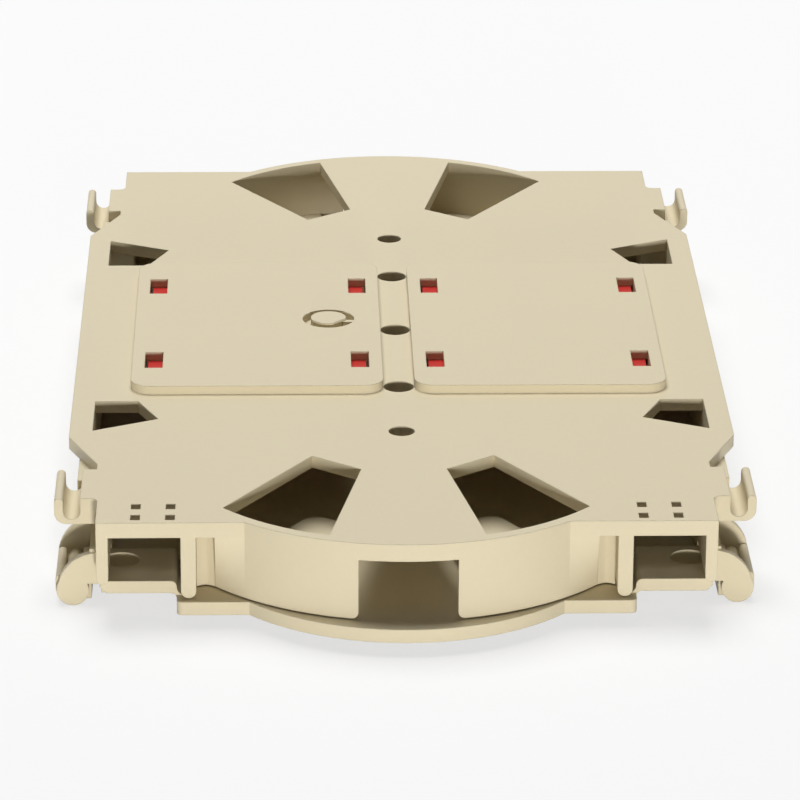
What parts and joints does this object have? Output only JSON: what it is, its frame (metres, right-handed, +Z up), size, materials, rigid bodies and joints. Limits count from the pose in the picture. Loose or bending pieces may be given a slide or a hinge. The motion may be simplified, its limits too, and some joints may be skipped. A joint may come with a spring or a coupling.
{
  "type": "fibre splice tray",
  "caption": "Flat moulded fibre splice tray, floor side up, with fan-shaped windows, raised splice pads, corner hooks and ears, and a hinged clip cover underneath.",
  "frame": {"origin": "centre of the footprint, on the plane that the ears stand on", "axes": "+Z up through the tray's floor, +Y along the tray towards the end away from the tie slots, +X to the right seen from the slotted end"},
  "size_m": [0.1302, 0.2296, 0.0226],
  "materials": {
    "tray_plastic": "fine matte texture",
    "cover_plastic": "fine matte texture",
    "chip_plastic": "satin"
  },
  "bodies": {
    "tray": {"tray_body": "tray_plastic", "splice_chip_left": "chip_plastic", "splice_chip_right": "chip_plastic"},
    "cover": {"cover": "cover_plastic"}
  },
  "joints": [
    {"name": "cover_hinge", "type": "hinge", "parent": "tray", "child": "cover", "pos_m": [-0.0618, 0, 0.003], "axis": [0, 1, 0], "range_deg": [0, 110]}
  ]
}
